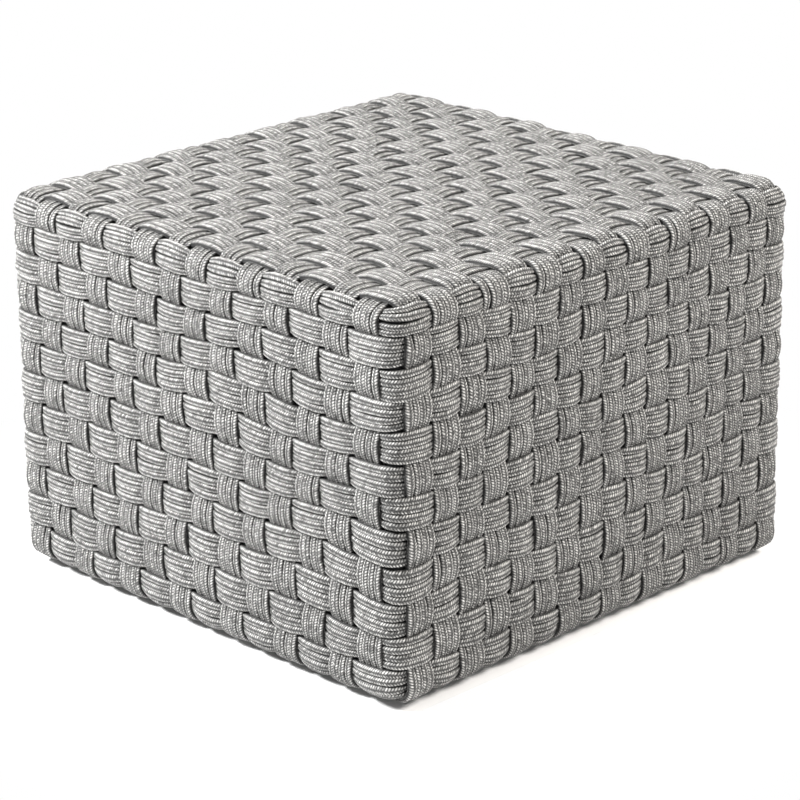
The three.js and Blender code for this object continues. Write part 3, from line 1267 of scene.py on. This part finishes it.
@dataclass(frozen=True)
class RopeFinish:
    """Heathered grey braided cord.

    Attributes:
        light: Colour of the lightest yarns.
        dark: Colour of the darkest yarns.
        melted: Colour of a sealed end.
        middle_shade: Shade from dark to light where no pattern adds to it or takes from it.
        strand_weight: How much the shade follows the strand.
        yarn_weight: How much it follows the yarn.
        fibre_weight: How much it follows the fibres.
        fibre_scale: Scale of the fibres' noise.
        blotch_weight: How much it follows wide blotches.
        blotch_scale: Scale of the blotches.
        noise_detail: Detail of the noise of fibres and blotches.
        cord_weight: How much it follows the cord's own tone.
        relief: Depth of the braid.
        groove_light: Share of the colour left by the painted shade at the bottom of a groove of the
            braid.
        side_light: Share of the colour left by the painted shade where two cords press on each
            other.
        dive_light: Share of the colour left by the painted shade under a crossing band.
        dive_power: How late the painted shade darkens a cord as it dives: more is later.
        corner_depth: How much deeper the painted shade is on a cord's pressed sides where it dives.
        roughness: How matt the yarns are.
        sheen: Strength of the soft sheen of their fibres.
        sheen_roughness: How wide the sheen spreads.
    """

    light: Colour = (0.93, 0.92, 0.89, 1.0)
    dark: Colour = (0.14, 0.137, 0.131, 1.0)
    melted: Colour = (0.05, 0.049, 0.047, 1.0)
    middle_shade: float = 0.55
    strand_weight: float = 0.6
    yarn_weight: float = 0.5
    fibre_weight: float = 2.2
    fibre_scale: float = 450.0
    blotch_weight: float = 0.25
    blotch_scale: float = 9.0
    noise_detail: float = 2.0
    cord_weight: float = 0.04
    relief: float = 0.75 * MM
    groove_light: float = 0.04
    side_light: float = 0.08
    dive_light: float = 0.03
    dive_power: float = 3.0
    corner_depth: float = 2.0
    roughness: float = 0.62
    sheen: float = 0.05
    sheen_roughness: float = 0.5

    def shade(
        self,
        graph: Graph,
        strands: bpy.types.NodeOutputs,
        tone: bpy.types.NodeSocket,
    ) -> bpy.types.NodeSocket:
        """Adds up the shades of strands, yarns, fibres, blotches and cords.

        Args:
            graph: The material's graph.
            strands: Outputs of the braid group.
            tone: The cord's own tone.

        Returns:
            The shade from 0, dark, to 1, light.
        """
        place = graph.object_place()
        fibres = graph.noise(place, self.fibre_scale, self.noise_detail)
        blotches = graph.noise(place, self.blotch_scale, self.noise_detail)
        patterns = (
            (strands["Strand Shade"], self.strand_weight),
            (strands["Yarn Shade"], self.yarn_weight),
            (fibres, self.fibre_weight),
            (blotches, self.blotch_weight),
        )
        total = graph.math("MULTIPLY_ADD", tone, self.cord_weight, self.middle_shade)
        for pattern, weight in patterns:
            total = graph.math("MULTIPLY_ADD", graph.centred(pattern), weight, total)
        return graph.clamped(total)

    def painted_crevice_shade(self, graph: Graph) -> bpy.types.NodeSocket:
        """Paints shade on the sides of a cord and on the stretches that lie under other bands.

        Args:
            graph: The material's graph.

        Returns:
            The share of the colour that is left.
        """
        press = graph.attribute(SIDE_SHADE_NAME)
        dive = graph.attribute(DIVE_NAME)
        # Painted shade on the cord's sides, where it meets the next cord.
        beside = graph.math("MULTIPLY_ADD", press, self.side_light - 1, 1.0)
        # Painted shade under crossing bands, deeper where the cord dives.
        deep = graph.math("POWER", dive, self.dive_power)
        corner = graph.math("MULTIPLY", graph.math("MULTIPLY", press, dive), self.corner_depth)
        deep = graph.math("MINIMUM", graph.math("ADD", deep, corner), 1.0)
        below = graph.math("MULTIPLY_ADD", deep, self.dive_light - 1, 1.0)
        return graph.math("MULTIPLY", beside, below)

    def material(self, braid: bpy.types.NodeTree) -> bpy.types.Material:
        """Builds the material.

        Args:
            braid: The braid group.

        Returns:
            The material.
        """
        made, graph = new_material("rope")
        run = graph.node("ShaderNodeUVMap", uv_map=UV_NAME).outputs[0]
        tone = graph.attribute(TONE_NAME)
        given = {"Run": run, "Seed": tone}
        strands = graph.node("ShaderNodeGroup", node_tree=braid, inputs=given).outputs
        colour = graph.mix(self.shade(graph, strands, tone), self.dark, self.light)
        # Painted shade: the braid's grooves, the cords' sides and the dives darken the base colour.
        left = 1 - self.groove_light
        lit = graph.math("MULTIPLY_ADD", strands["Light"], left, self.groove_light)
        shaded = graph.scaled(colour, graph.math("MULTIPLY", lit, self.painted_crevice_shade(graph)))
        inputs = {
            "Base Color": graph.mix(graph.attribute(SEAL_NAME), shaded, self.melted),
            "Roughness": self.roughness,
            "Sheen Weight": self.sheen,
            "Sheen Roughness": self.sheen_roughness,
        }
        graph.finish(strands["Height"], self.relief, inputs)
        return made


@dataclass(frozen=True)
class CoatFinish:
    """A coated or moulded surface with a fine grain.

    Attributes:
        name: Name of the material.
        colour: Its colour.
        worn: Its colour where it is dusty or scuffed.
        roughness: How matt it is.
        relief: Depth of the grain.
    """

    name: str
    colour: Colour
    worn: Colour
    roughness: float
    relief: float = 0.06 * MM

    def material(self, grain: bpy.types.NodeTree) -> bpy.types.Material:
        """Builds the material.

        Args:
            grain: The grain group.

        Returns:
            The material.
        """
        made, graph = new_material(self.name)
        given = {"Place": graph.object_place()}
        surface = graph.node("ShaderNodeGroup", node_tree=grain, inputs=given).outputs
        colour = graph.mix(surface["Blotch"], self.colour, self.worn)
        inputs = {"Base Color": colour, "Roughness": self.roughness}
        graph.finish(surface["Grain"], self.relief, inputs)
        return made


class Bench:
    """Models one object at a time with the usual modelling operators.

    Attributes:
        merge: Points closer than this are merged.
        sharp: Edges sharper than this are rounded.
    """

    merge: float = 0.01 * MM
    sharp: float = math.radians(35)

    @staticmethod
    def clear() -> None:
        """Deselects everything."""
        bpy.ops.object.select_all(action="DESELECT")

    @staticmethod
    def take(name: str) -> bpy.types.Object:
        """Names the object that was just added and settles its place in its mesh.

        Args:
            name: Its name.

        Returns:
            The object.
        """
        piece = bpy.context.object
        piece.name = name
        piece.data.name = name
        bpy.ops.object.transform_apply(location=True, rotation=True, scale=True)
        return piece

    @staticmethod
    def pick(piece: bpy.types.Object, choose: Callable[[bpy.types.MeshPolygon], bool]) -> None:
        """Selects the faces that a test chooses, and opens the mesh for editing.

        Args:
            piece: The object.
            choose: Says whether a face is chosen.
        """
        bpy.ops.object.mode_set(mode="EDIT")
        bpy.ops.mesh.select_mode(type="FACE")
        bpy.ops.mesh.select_all(action="DESELECT")
        bpy.ops.object.mode_set(mode="OBJECT")
        for face in piece.data.polygons:
            face.select = choose(face)
        bpy.ops.object.mode_set(mode="EDIT")

    @staticmethod
    def make_active(piece: bpy.types.Object) -> None:
        """Selects one object alone.

        Args:
            piece: The object.
        """
        Bench.clear()
        piece.select_set(True)
        bpy.context.view_layer.objects.active = piece

    @staticmethod
    def tidy(piece: bpy.types.Object, angle: float) -> None:
        """Merges doubles, turns faces outwards and smooths all but sharp edges.

        Args:
            piece: The object.
            angle: Edges flatter than this are smoothed.
        """
        Bench.make_active(piece)
        bpy.ops.object.mode_set(mode="EDIT")
        bpy.ops.mesh.select_all(action="SELECT")
        bpy.ops.mesh.remove_doubles(threshold=Bench.merge)
        bpy.ops.mesh.normals_make_consistent(inside=False)
        bpy.ops.object.mode_set(mode="OBJECT")
        bpy.ops.object.shade_smooth_by_angle(angle=angle)

    @staticmethod
    def apply(piece: bpy.types.Object, kind: str, **settings: object) -> None:
        """Adds a modifier and applies it.

        Args:
            piece: The object.
            kind: Type name of the modifier.
            settings: Settings of the modifier.
        """
        tool = piece.modifiers.new(kind.lower(), kind)
        for name, value in settings.items():
            setattr(tool, name, value)
        Bench.make_active(piece)
        bpy.ops.object.modifier_apply(modifier=tool.name)

    @staticmethod
    def cut(piece: bpy.types.Object, cutter: bpy.types.Object) -> None:
        """Cuts one object's shape out of another."""
        Bench.apply(piece, "BOOLEAN", operation="DIFFERENCE", object=cutter, solver="EXACT")

    @staticmethod
    def bevel(piece: bpy.types.Object, width: float, segments: int) -> None:
        """Rounds every sharp edge.

        Args:
            piece: The object.
            width: Width of the rounding.
            segments: Steps round it.
        """
        Bench.apply(
            piece,
            "BEVEL",
            width=width,
            segments=segments,
            limit_method="ANGLE",
            angle_limit=Bench.sharp,
        )

    @staticmethod
    def copy(piece: bpy.types.Object, name: str, move: Matrix) -> bpy.types.Object:
        """Makes a new object with a moved copy of a piece's mesh.

        Args:
            piece: The piece.
            name: Name of the new object.
            move: The move from the piece's place to the copy's.

        Returns:
            The new object.
        """
        mesh = piece.data.copy()
        mesh.name = name
        mesh.transform(move)
        double = bpy.data.objects.new(name, mesh)
        bpy.context.scene.collection.objects.link(double)
        return double

    @staticmethod
    def hand_over(
        piece: bpy.types.Object, node: str | None, slot: str, material: bpy.types.Material
    ) -> None:
        """Dresses a piece and sets it on the part.

        Args:
            piece: The piece.
            node: The frame's node that it takes the place of, if there is one.
            slot: The record's material slot for the piece; not used.
            material: Its material.
        """
        piece.data.materials.clear()
        piece.data.materials.append(material)
        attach(piece, BODY)
        if node:
            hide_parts(node)


@dataclass
class TubeFrame:
    """The welded tube frame: two rail loops, four posts and four stretchers.

    Attributes:
        box: The box that the axes of rails and posts span.
        tube: Diameter of the tube.
        bend: Radius of the rails' bends, to the tube's axis.
        bend_steps: Steps round a bend.
        sides: Sides of a tube.
        bead: Radius of a weld bead.
        bead_steps: Points along a weld bead.
        smooth_angle: Edges flatter than this are smoothed.
    """

    box: AxisBox
    tube: float = 20 * MM
    bend: float = 13.7 * MM
    bend_steps: int = 8
    sides: int = 28
    bead: float = 1.7 * MM
    bead_steps: int = 56
    smooth_angle: float = math.radians(40)

    def rail_loop(self, name: str, height: float) -> bpy.types.Object:
        """Models a closed loop of tube with four bends.

        Args:
            name: Name of the piece.
            height: Height of the tube's axis.

        Returns:
            The loop.
        """
        low, high = self.box.low + self.bend, self.box.high - self.bend
        centres = [(high[0], low[1]), (high[0], high[1]), (low[0], high[1]), (low[0], low[1])]
        lengths = [high[0] - low[0], high[1] - low[1]] * 2
        headings = [(1, 0), (0, 1), (-1, 0), (0, -1)]
        Bench.clear()
        bpy.ops.mesh.primitive_circle_add(
            vertices=self.sides,
            radius=self.tube / 2,
            fill_type="NOTHING",
            location=(low[0], self.box.low[1], height),
            rotation=(0, math.pi / 2, 0),
        )
        loop = Bench.take(name)
        turn = {"steps": self.bend_steps, "angle": -math.pi / 2, "axis": (0, 0, 1)}
        bpy.ops.object.mode_set(mode="EDIT")
        bpy.ops.mesh.select_all(action="SELECT")
        for (x, y), length, (east, north) in zip(centres, lengths, headings):
            step = (east * length, north * length, 0)
            bpy.ops.mesh.extrude_region_move(TRANSFORM_OT_translate={"value": step})
            bpy.ops.mesh.spin(center=(x, y, height), **turn)
        bpy.ops.object.mode_set(mode="OBJECT")
        Bench.tidy(loop, self.smooth_angle)
        return loop

    def straight(self, name: str, start: Vector, end: Vector) -> bpy.types.Object:
        """Models a straight tube.

        Args:
            name: Name of the piece.
            start: The point where its axis starts.
            end: The point where its axis ends.

        Returns:
            The tube.
        """
        span = end - start
        Bench.clear()
        bpy.ops.mesh.primitive_cylinder_add(
            vertices=self.sides,
            radius=self.tube / 2,
            depth=span.length,
            location=(start + end) / 2,
            rotation=span.to_track_quat("Z", "Y").to_euler(),
        )
        return Bench.take(name)

    def weld_bead(self, name: str, joint: Vector, towards: float) -> bpy.types.Object:
        """Models the bead where a stretcher meets a rail of the same tube.

        Args:
            name: Name of the piece.
            joint: Where the two axes meet.
            towards: The side of the rail that the stretcher is on, as a sign along Y.

        Returns:
            The bead.
        """
        Bench.clear()
        bpy.ops.mesh.primitive_circle_add(
            vertices=self.bead_steps,
            radius=self.tube / 2,
            location=joint,
            rotation=(math.pi / 2, 0, 0),
        )
        line = Bench.take(name)
        for vertex in line.data.vertices:
            vertex.co.y += towards * abs(vertex.co.x - joint.x)
        bpy.ops.object.convert(target="CURVE")
        bpy.context.object.data.bevel_depth = self.bead
        bpy.ops.object.convert(target="MESH")
        bead = bpy.context.object
        Bench.tidy(bead, self.smooth_angle)
        return bead

    def post(self, node: str, place: Vector, loops: list[bpy.types.Object]) -> bpy.types.Object:
        """Models a corner post, coped to the rail loops.

        Args:
            node: The post's node.
            place: Where its axis meets the floor.
            loops: The two loops.

        Returns:
            The post.
        """
        foot, head = (Vector((place.x, place.y, level)) for level in node_box(node)[:, 2])
        post = self.straight(f"{node}_tube", foot, head)
        for loop in loops:
            Bench.cut(post, loop)
        Bench.tidy(post, self.smooth_angle)
        return post

    def posts(self, loops: list[bpy.types.Object]) -> dict[str, bpy.types.Object]:
        """Models one corner post and copies it to the other corners, turned to suit each.

        Args:
            loops: The two rail loops.

        Returns:
            The four posts by their nodes.
        """
        made = {}
        model, model_place = None, Vector()
        ends = np.array([self.box.low, self.box.high])
        for node, (across, along) in corners("corner_post").items():
            place = Vector((ends[across, 0], ends[along, 1], 0))
            if model:
                quarter_turns = 2 * along + (across != along)
                turn = Matrix.Rotation(quarter_turns * math.pi / 2, 4, "Z")
                move = Matrix.Translation(place) @ turn @ Matrix.Translation(-model_place)
                made[node] = Bench.copy(model, f"{node}_tube", move)
            else:
                model = made[node] = self.post(node, place, loops)
                model_place = place
        return made

    def stretcher(self, node: str, place: Vector, loop: bpy.types.Object) -> list[bpy.types.Object]:
        """Models a stretcher, coped to a rail loop, and its two weld beads.

        Args:
            node: The stretcher's node.
            place: The place of its axis, across and up.
            loop: The loop that it is welded to.

        Returns:
            The tube, the front bead and the back bead.
        """
        front = Vector((place.x, self.box.low[1], place.z))
        back = Vector((place.x, self.box.high[1], place.z))
        tube = self.straight(f"{node}_tube", front, back)
        Bench.cut(tube, loop)
        Bench.tidy(tube, self.smooth_angle)
        front_bead = self.weld_bead(f"{node}_weld_front", front, 1)
        return [tube, front_bead, self.weld_bead(f"{node}_weld_back", back, -1)]

    def build(self, material: bpy.types.Material) -> list[bpy.types.Object]:
        """Models the whole frame.

        Args:
            material: The frame's finish.

        Returns:
            Its pieces.
        """
        heights = {"top": float(self.box.high[2]), "bottom": float(self.box.low[2])}
        top_loop = self.rail_loop("top_rail_loop_tube", heights["top"])
        drop = Matrix.Translation((0, 0, heights["bottom"] - heights["top"]))
        loops = [top_loop, Bench.copy(top_loop, "bottom_rail_loop_tube", drop)]
        for level, loop in zip(heights, loops):
            Bench.hand_over(loop, f"{level}_rail_loop", "frame", material)
        posts = self.posts(loops)
        for node, post in posts.items():
            Bench.hand_over(post, node, "frame", material)
        pieces = [*loops, *posts.values()]
        model, model_place = [], Vector()
        for level, height in heights.items():
            for side in ("left", "right"):
                node = f"{level}_stretcher_{side}"
                place = Vector((float(node_box(node)[:, 0].mean()), 0, height))
                if model:
                    names = (f"{node}_{word}" for word in ("tube", "weld_front", "weld_back"))
                    move = Matrix.Translation(place - model_place)
                    parts = [Bench.copy(part, name, move) for part, name in zip(model, names)]
                else:
                    parts = model = self.stretcher(node, place, loops[0])
                    model_place = place
                for part, replaced in zip(parts, (node, None, None)):
                    Bench.hand_over(part, replaced, "frame", material)
                pieces += parts
        return pieces


@dataclass
class SaddleGlides:
    """The four plastic feet that clip on the bottom stretchers.

    Attributes:
        groove: Radius of the groove that grips the tube.
        edge: Radius of the rounded edges.
        sole_rim: Width of the rim round the sole.
        sole_depth: Depth of the hollow inside the rim.
        rib: Width of the rib across each side.
        rib_rise: How far the rib stands proud.
        groove_sides: Sides of the groove's cutter.
        overcut: Length of the cutter, as a share of the glide's.
        facing: How straight down or sideways the faces point that are inset: 1 is exactly.
        edge_steps: Steps round a rounded edge.
        smooth_angle: Edges flatter than this are smoothed.
    """

    groove: float = 10.2 * MM
    edge: float = 1.1 * MM
    sole_rim: float = 3.5 * MM
    sole_depth: float = 0.9 * MM
    rib: float = 6 * MM
    rib_rise: float = 0.5 * MM
    groove_sides: int = 48
    overcut: float = 2.0
    facing: float = 0.9
    edge_steps: int = 3
    smooth_angle: float = math.radians(30)

    def glide(self, node: str, tube_height: float) -> bpy.types.Object:
        """Models one glide in its node's box.

        Args:
            node: The glide's node.
            tube_height: Height of the stretcher's axis.

        Returns:
            The glide.
        """
        low, high = (Vector(corner) for corner in node_box(node))
        Bench.clear()
        bpy.ops.mesh.primitive_cube_add(size=1, location=(low + high) / 2, scale=high - low)
        foot = Bench.take(f"{node}_foot")
        Bench.pick(foot, lambda face: face.normal.z < -self.facing)
        bpy.ops.mesh.inset(thickness=self.sole_rim)
        bpy.ops.mesh.inset(thickness=self.sole_depth, depth=-self.sole_depth)
        Bench.pick(foot, lambda face: abs(face.normal.x) > self.facing)
        bpy.ops.mesh.inset(thickness=self.rib, depth=0, use_individual=True)
        bpy.ops.mesh.inset(thickness=self.rib_rise, depth=-self.rib_rise, use_individual=True)
        bpy.ops.object.mode_set(mode="OBJECT")
        self.cut_groove(foot, low, high, tube_height)
        Bench.tidy(foot, self.smooth_angle)
        Bench.bevel(foot, self.edge, self.edge_steps)
        bpy.ops.object.shade_smooth_by_angle(angle=self.smooth_angle)
        return foot

    def cut_groove(
        self, foot: bpy.types.Object, low: Vector, high: Vector, tube_height: float
    ) -> None:
        """Cuts the groove that the tube sits in.

        Args:
            foot: The glide.
            low: Lowest corner of its box.
            high: Highest corner of its box.
            tube_height: Height of the stretcher's axis.
        """
        Bench.clear()
        bpy.ops.mesh.primitive_cylinder_add(
            vertices=self.groove_sides,
            radius=self.groove,
            depth=self.overcut * (high.y - low.y),
            location=((low.x + high.x) / 2, (low.y + high.y) / 2, tube_height),
            rotation=(math.pi / 2, 0, 0),
        )
        cutter = Bench.take("groove_cutter")
        Bench.cut(foot, cutter)
        bpy.data.objects.remove(cutter)

    def build(self, tube_height: float, material: bpy.types.Material) -> list[bpy.types.Object]:
        """Models one glide and copies it to the other three places.

        Args:
            tube_height: Height of the stretchers' axes.
            material: The glides' finish.

        Returns:
            The four glides.
        """
        pieces = []
        nodes = list(corners("glide"))
        first = Vector(node_box(nodes[0])[0])
        for node in nodes:
            if pieces:
                move = Matrix.Translation(Vector(node_box(node)[0]) - first)
                foot = Bench.copy(pieces[0], f"{node}_foot", move)
            else:
                foot = self.glide(node, tube_height)
            Bench.hand_over(foot, node, "glide", material)
            pieces.append(foot)
        return pieces


@dataclass(frozen=True)
class FloorFinish:
    """A pale floor that shows white and keeps the shadow near and under the footstool.

    Attributes:
        shade: The floor's own colour, which shows in the shadow.
        contact_light: Share of white left in the floor's look right beside the footstool.
        shadow_reach: Distance over which the floor's look turns to plain white.
        leak: Share of the light from below that gets in under the footstool.
    """

    shade: Colour = (0.82, 0.82, 0.82, 1.0)
    contact_light: float = 0.78
    shadow_reach: float = 0.35
    leak: float = 0.9

    def distance(self, graph: Graph) -> bpy.types.NodeSocket:
        """Measures how far outside the footstool's outline a place on the floor lies.

        Args:
            graph: The floor's graph.

        Returns:
            The distance, which is 0 inside the outline.
        """
        x, y, _ = ((high - low) / 2 for low, high in zip(*CAD_BOUNDS))
        spread = graph.vector("ABSOLUTE", graph.object_place())[0]
        past = graph.vector("SUBTRACT", spread, (x, y, 0))[0]
        beside = graph.vector("MAXIMUM", past, (0, 0, 0))[0]
        flat = graph.vector("MULTIPLY", beside, (1, 1, 0))[0]
        return graph.vector("LENGTH", flat)["Value"]

    def material(self) -> bpy.types.Material:
        """Builds the material, in which the camera sees white outside the footstool's outline.

        Returns:
            The material.
        """
        made, graph = new_material("floor")
        distance = self.distance(graph)
        whiteness = graph.node(
            "ShaderNodeMapRange",
            {0: distance, 1: 0.0, 2: self.shadow_reach, 3: self.contact_light, 4: 1.0},
            interpolation_type="SMOOTHSTEP",
        ).outputs[0]
        outside = graph.math("GREATER_THAN", distance, 0.0)
        path = graph.node("ShaderNodeLightPath").outputs
        seen = graph.math("MAXIMUM", path["Is Camera Ray"], path["Is Glossy Ray"])
        seen = graph.math("MAXIMUM", seen, path["Is Transmission Ray"])
        share = graph.math("MULTIPLY", seen, graph.math("MULTIPLY", outside, whiteness))
        white = graph.node("ShaderNodeEmission", {"Strength": 1.0}).outputs[0]
        matt = graph.node("ShaderNodeBsdfDiffuse", {"Color": self.shade}).outputs[0]
        pale = graph.mix_shader(share, matt, white)
        open_floor = graph.node("ShaderNodeBsdfTransparent").outputs[0]
        below = graph.node("ShaderNodeNewGeometry").outputs["Backfacing"]
        inside = graph.math("SUBTRACT", 1.0, graph.math("MAXIMUM", outside, seen))
        openness = graph.math("MAXIMUM", below, graph.math("MULTIPLY", inside, self.leak))
        shader = graph.mix_shader(openness, pale, open_floor)
        graph.node("ShaderNodeOutputMaterial", {"Surface": shader})
        return made


@dataclass(frozen=True)
class Lamp:
    """A square light that faces the footstool.

    Attributes:
        name: Its name.
        place: Where it hangs.
        size: Length of its side.
        power: Its power in watts.
        colour: Its colour.
    """

    name: str
    place: tuple[float, float, float]
    size: float
    power: float
    colour: tuple[float, float, float] = (1.0, 1.0, 1.0)

    def hang(self, target: Vector) -> None:
        """Hangs the light and turns it to face a point.

        Args:
            target: The point.
        """
        data = bpy.data.lights.new(self.name, "AREA")
        data.size = self.size
        data.energy = self.power
        data.color = self.colour
        light = bpy.data.objects.new(self.name, data)
        light.location = self.place
        away = target - Vector(self.place)
        light.rotation_euler = away.to_track_quat("-Z", "Y").to_euler()
        bpy.context.scene.collection.objects.link(light)


@dataclass(frozen=True)
class Studio:
    """Floor, lights, world and camera.

    The camera's values come from a fit to the photograph's outline, in an image 800 pixels wide.

    Attributes:
        image_width: Width of the image in pixels.
        focal_pixels: Focal length in pixels.
        yaw: The camera's way round the footstool.
        pitch: Its height, as an angle.
        roll: Its roll.
        distance: Its distance from the middle of the footstool.
        slide_right: How far it is slid sideways.
        slide_up: How far it is slid up.
        sensor: Sensor width in millimetres.
        view_reach: How far the camera sees.
        floor_size: Side of the floor.
        floor: The floor's finish.
        sky: Strength of the world as a light.
        key: The strong light, high on the camera's left and a little behind the footstool.
        fill: The weak light, on the camera's right, a little warmer than the key light.
    """

    image_width: float = 800.0
    focal_pixels: float = 3153.7
    yaw: float = math.radians(45.39)
    pitch: float = math.radians(19.93)
    roll: float = math.radians(-0.579)
    distance: float = 3.385
    slide_right: float = 0.00075
    slide_up: float = 0.0303
    sensor: float = 36.0
    view_reach: float = 120.0
    floor_size: float = 60.0
    floor: FloorFinish = FloorFinish()
    sky: float = 0.44
    key: Lamp = Lamp("key", (-2.15, 1.5, 2.55), 0.9, 384.0)
    fill: Lamp = Lamp("fill", (1.5, -2.2, 2.3), 1.2, 171.0, (1.0, 0.965, 0.92))

    def build(self) -> None:
        """Sets up the whole studio."""
        bpy.context.scene.view_settings.view_transform = "Standard"
        self.add_camera()
        self.add_floor()
        self.add_world()
        for lamp in (self.key, self.fill):
            lamp.hang(self.target())

    def target(self) -> Vector:
        """The middle of the footstool."""
        low, high = CAD_BOUNDS
        return Vector([(a + b) / 2 for a, b in zip(low, high)])

    def add_camera(self) -> None:
        """Adds the camera where the photograph was taken from."""
        away = Vector((
            -math.cos(self.yaw) * math.cos(self.pitch),
            -math.sin(self.yaw) * math.cos(self.pitch),
            math.sin(self.pitch),
        ))
        level = (-away).cross(Vector((0, 0, 1))).normalized()
        raised = level.cross(-away)
        cos, sin = math.cos(self.roll), math.sin(self.roll)
        right = cos * level + sin * raised
        up = cos * raised - sin * level
        place = self.target() + away * self.distance
        place = place - right * self.slide_right - up * self.slide_up
        data = bpy.data.cameras.new("camera")
        data.sensor_width = self.sensor
        data.lens = self.focal_pixels / self.image_width * self.sensor
        data.clip_end = self.view_reach
        camera = bpy.data.objects.new("camera", data)
        rotation = Matrix((right, up, away)).transposed().to_4x4()
        camera.matrix_world = Matrix.Translation(place) @ rotation
        bpy.context.scene.collection.objects.link(camera)
        bpy.context.scene.camera = camera

    def add_floor(self) -> None:
        """Adds the floor."""
        Bench.clear()
        bpy.ops.mesh.primitive_plane_add(size=self.floor_size)
        floor = Bench.take("floor")
        floor.data.materials.append(self.floor.material())

    def add_world(self) -> None:
        """Adds an even sky that is white to the camera."""
        world = bpy.data.worlds.new("studio")
        bpy.context.scene.world = world
        world.use_nodes = True
        graph = Graph(world.node_tree)
        seen = graph.node("ShaderNodeLightPath").outputs["Is Camera Ray"]
        sky, white = (
            graph.node("ShaderNodeBackground", {"Color": (1, 1, 1, 1), "Strength": strength})
            for strength in (self.sky, 1.0)
        )
        shader = graph.mix_shader(seen, sky.outputs[0], white.outputs[0])
        graph.node("ShaderNodeOutputWorld", {"Surface": shader})


def main() -> None:
    """Builds the footstool and its studio."""
    logging.basicConfig(level=logging.INFO, format="%(message)s")
    Studio().build()
    rope = RopeFinish().material(Braid().group())
    grain = Grain().group()
    coat = CoatFinish(
        name="frame",
        colour=(0.10, 0.102, 0.106, 1.0),
        worn=(0.14, 0.142, 0.145, 1.0),
        roughness=0.5,
    )
    moulding = CoatFinish(
        name="glide",
        colour=(0.012, 0.012, 0.013, 1.0),
        worn=(0.03, 0.03, 0.03, 1.0),
        roughness=0.55,
    )
    skin = WovenSkin()
    pieces = skin.build(rope)
    pieces += TubeFrame(skin.box).build(coat.material(grain))
    pieces += SaddleGlides().build(float(skin.box.low[2]), moulding.material(grain))
    for piece in pieces:
        log.info("%s: %d faces", piece.name, len(piece.data.polygons))


if __name__ == "__main__":
    main()
